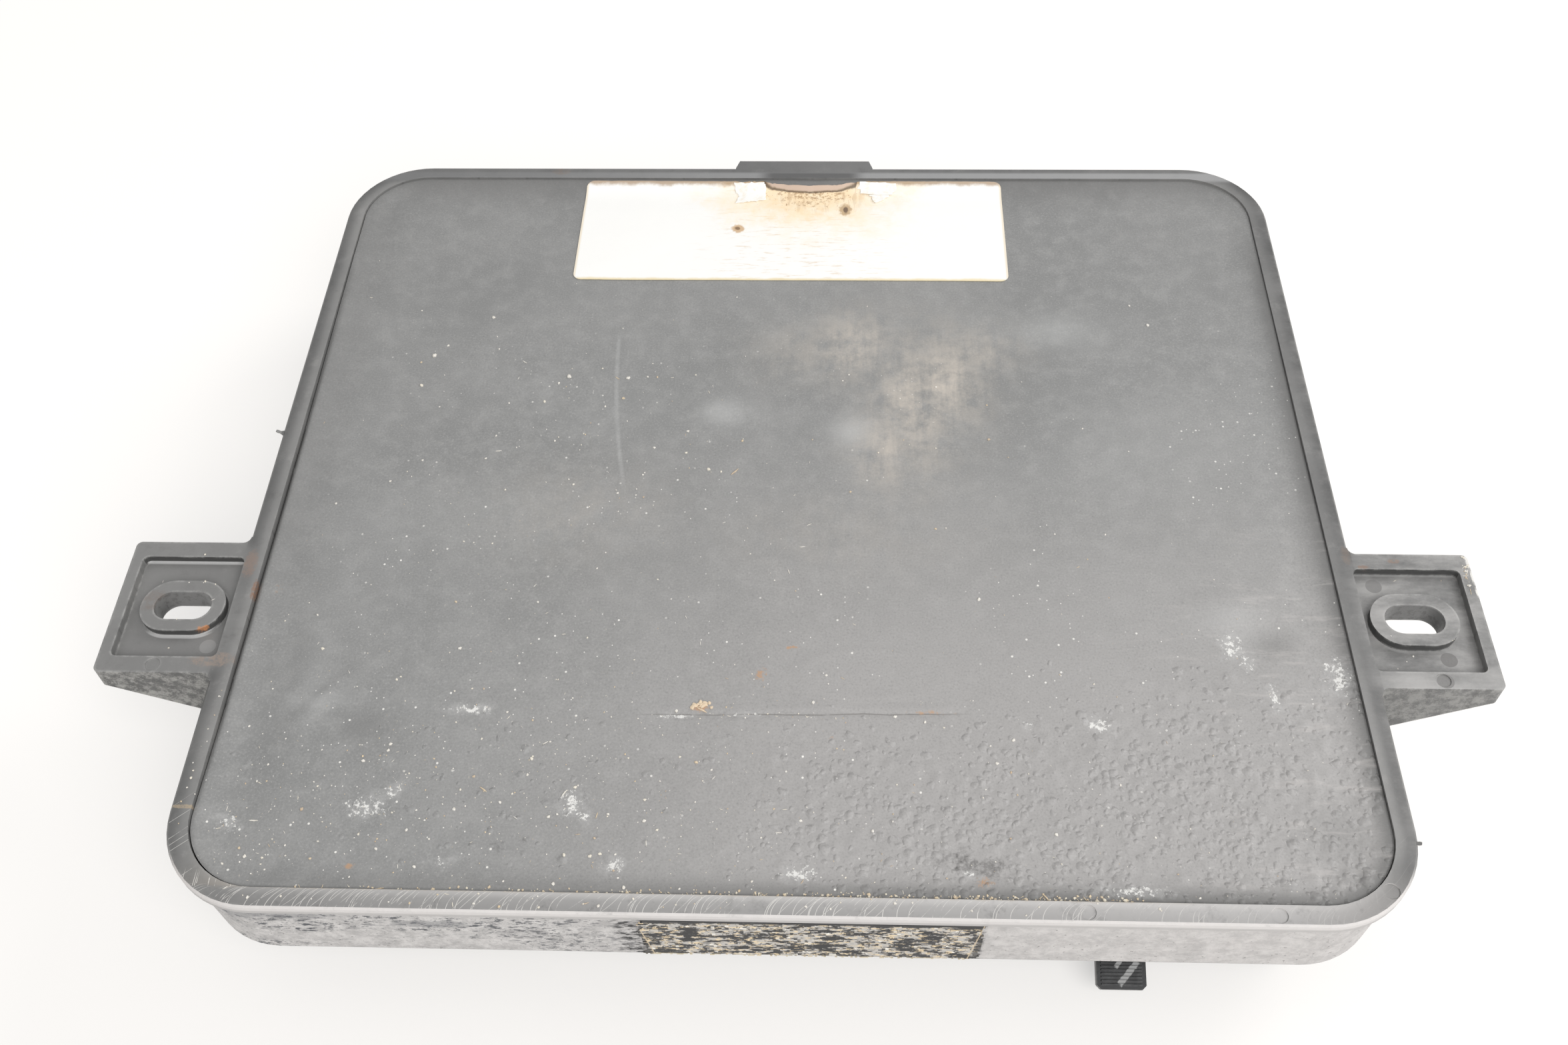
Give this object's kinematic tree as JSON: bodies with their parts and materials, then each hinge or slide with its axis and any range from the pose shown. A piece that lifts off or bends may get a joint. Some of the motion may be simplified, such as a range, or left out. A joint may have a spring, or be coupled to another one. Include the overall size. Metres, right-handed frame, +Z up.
{
  "type": "engine control unit",
  "caption": "Flat moulded control unit for an engine: a circuit board potted into a rounded tray with slotted ears and a shrouded plug socket underneath.",
  "frame": {"origin": "under the middle of the rim, on the plane that the pan rests on", "axes": "+Z up out of the potted face, +X from ear to ear with the socket on the +X side, +Y to the back, where the tongue is"},
  "size_m": [0.266, 0.1976, 0.04],
  "materials": {
    "housing_plastic": "satin, dusty and scuffed",
    "potting": "satin, pimpled and speckled",
    "board_laminate": "matte lacquer",
    "screw_steel": "zinc plated",
    "header_plastic": "satin",
    "gasket_rubber": "matte",
    "contact_metal": "tinned",
    "bush_brass": "turned",
    "label_paper": "matte, stained",
    "label_film": "matte, abraded",
    "chip_plastic": "matte",
    "crystal_can": "drawn",
    "sink_aluminium": "extruded",
    "capacitor_sleeve": "shrunk sleeve",
    "choke_ferrite": "matte",
    "winding_copper": "enamelled",
    "pack_resin": "dipped",
    "capacitor_resin": "dipped",
    "diode_plastic": "matte",
    "resistor_ceramic": "matte"
  },
  "bodies": {
    "root": {"housing": "housing_plastic", "potting_compound": "potting", "circuit_board": "board_laminate", "board_screws": "screw_steel", "connector_header": "header_plastic", "header_gasket": "gasket_rubber", "connector_pins": "contact_metal", "connector_insert": "bush_brass", "top_label": "label_paper", "front_label": "label_film", "processor_chip": "chip_plastic", "program_memory": "chip_plastic", "interface_chip": "chip_plastic", "driver_chips": "chip_plastic", "quartz_crystal": "crystal_can", "heat_sink": "sink_aluminium", "heat_sink_screws": "screw_steel", "power_transistors": "chip_plastic", "voltage_regulator": "chip_plastic", "transistor_screws": "screw_steel", "filter_capacitors": "capacitor_sleeve", "choke_core": "choke_ferrite", "choke_winding": "winding_copper", "resistor_packs": "pack_resin", "noise_capacitors": "capacitor_resin", "diodes": "diode_plastic", "surge_suppressor": "diode_plastic", "sense_resistors": "resistor_ceramic"}
  },
  "joints": []
}
